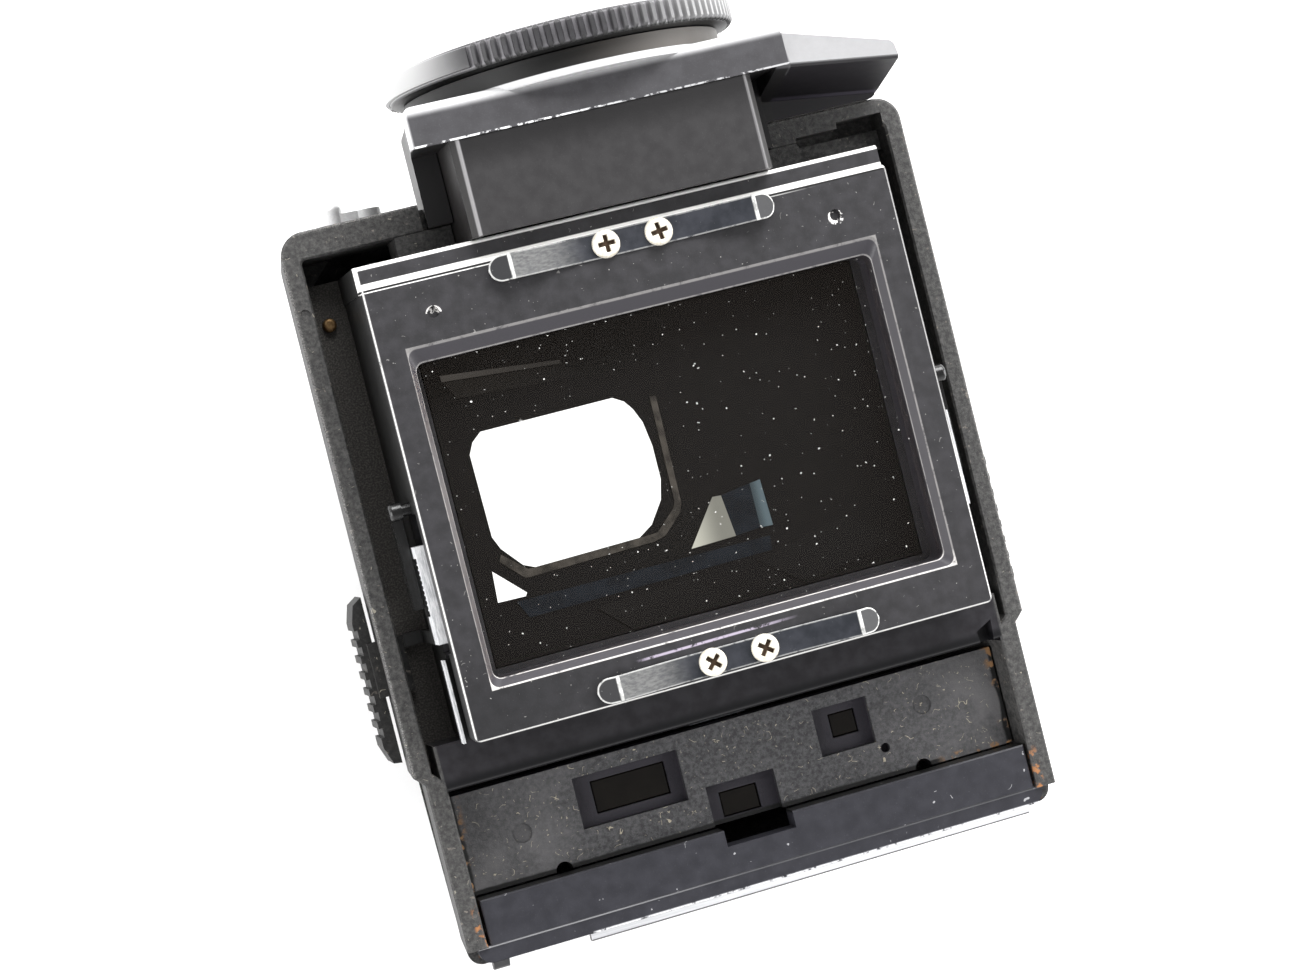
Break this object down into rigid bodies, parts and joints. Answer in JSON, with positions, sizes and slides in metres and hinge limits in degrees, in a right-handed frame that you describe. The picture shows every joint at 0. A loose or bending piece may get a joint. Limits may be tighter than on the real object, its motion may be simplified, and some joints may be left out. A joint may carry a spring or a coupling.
{
  "type": "camera viewfinder",
  "caption": "Removable roof-prism viewfinder for a reflex camera, with a proud screen frame, leaf springs, side release buttons and a round knurled eyepiece.",
  "frame": {"origin": "in the seat plane, the rim of the casing that rests on the camera body, under the middle of the screen opening", "axes": "+Z out of the underside, so the finder lies on its roof; -Y towards the nameplate at the front; +Y towards the eyepiece; +X to the right seen from above the underside with the eyepiece away from the viewer"},
  "size_m": [0.0542, 0.0702, 0.0414],
  "materials": {
    "cast_black": "grainy black paint on a cast shell",
    "semi_gloss_black": "semi-gloss black enamel worn bright along the edges",
    "nameplate_black": "satin black",
    "bright_trim": "polished strip",
    "panel_grey": "grainy dark grey",
    "apron_black": "smooth bluish black",
    "optical_glass": "coated optical glass",
    "mask_black": "matt black",
    "spring_steel": "blued spring steel, brushed",
    "screw_nickel": "pale nickel plate",
    "strap_steel": "plain",
    "foam": "black foam",
    "contact_brass": "tarnished brass",
    "ring_black": "black anodised, knurled",
    "latch_chrome": "bright nickel",
    "button_black": "ribbed black plastic",
    "window_glass": "tinted window",
    "blade_black": "matt black blade"
  },
  "bodies": {
    "finder": {"casing": "cast_black", "nameplate": "nameplate_black", "front_trim": "bright_trim", "cover_screws": "screw_nickel", "front_panel": "panel_grey", "front_apron": "apron_black", "screen_frame": "semi_gloss_black", "base_lens": "optical_glass", "lens_mask": "mask_black", "pentaprism": "optical_glass", "prism_clamp": "strap_steel", "clamp_screws": "screw_nickel", "prism_pads": "foam", "contact_pins": "contact_brass", "eyepiece_housing": "semi_gloss_black", "light_tunnel": "semi_gloss_black", "eyepiece_mask": "mask_black", "eyepiece_lens_front": "optical_glass", "eyepiece_lens_rear": "optical_glass", "lens_retainer": "mask_black", "rear_leaf_spring": "spring_steel", "front_leaf_spring": "spring_steel", "rear_leaf_screws": "screw_nickel", "front_leaf_screws": "screw_nickel", "window_left": "window_glass", "window_centre": "window_glass", "window_right": "window_glass", "latch_spring_left": "latch_chrome", "guide_strip_left": "latch_chrome", "stop_pin_left": "semi_gloss_black", "latch_spring_right": "latch_chrome", "guide_strip_right": "latch_chrome", "stop_pin_right": "semi_gloss_black"},
    "left_release": {"release_button_left": "button_black", "latch_slide_left": "latch_chrome"},
    "right_release": {"release_button_right": "button_black", "latch_slide_right": "latch_chrome"},
    "eyepiece_window": {"eyepiece_glass": "optical_glass"},
    "eyepiece_rim": {"eyepiece_ring": "ring_black", "eyepiece_sleeve": "ring_black"},
    "blind_handle": {"blind_lever": "button_black"},
    "upper_blade": {"blind_blade_upper": "blade_black"},
    "lower_blade": {"blind_blade_lower": "blade_black"}
  },
  "joints": [
    {"name": "release_left", "type": "slide", "parent": "finder", "child": "left_release", "axis": [0, 1, 0], "range_m": [0, 0.0024], "stiffness_N_per_m": 400, "springref_m": -0.001, "deforming": ["latch_spring_left"]},
    {"name": "release_right", "type": "slide", "parent": "finder", "child": "right_release", "axis": [0, 1, 0], "range_m": [0, 0.0024], "stiffness_N_per_m": 400, "springref_m": -0.001, "deforming": ["latch_spring_right"]},
    {"name": "eyepiece_travel", "type": "slide", "parent": "finder", "child": "eyepiece_window", "axis": [0, 1, 0], "range_m": [0, 0.00226]},
    {"name": "eyepiece_turn", "type": "hinge", "parent": "eyepiece_window", "child": "eyepiece_rim", "pos_m": [0, 0.0336, -0.003], "axis": [0, 1, 0], "range_deg": [0, 1080]},
    {"name": "blind_lever", "type": "hinge", "parent": "finder", "child": "blind_handle", "pos_m": [-0.0176, 0.0245, -0.011], "axis": [0, 1, 0], "range_deg": [0, 60]},
    {"name": "blind_lower", "type": "hinge", "parent": "finder", "child": "lower_blade", "pos_m": [0, 0.02735, 0.0041], "axis": [1, 0, 0], "range_deg": [0, 90]},
    {"name": "blind_upper", "type": "hinge", "parent": "finder", "child": "upper_blade", "pos_m": [0, 0.02735, -0.0101], "axis": [1, 0, 0], "range_deg": [-90, 0]}
  ],
  "couplings": [
    {"joint": "eyepiece_travel", "follows": "eyepiece_turn", "m_per_rad": 0.00011937},
    {"joint": "blind_lower", "follows": "blind_lever", "ratio": 1.5},
    {"joint": "blind_upper", "follows": "blind_lever", "ratio": -1.5}
  ]
}
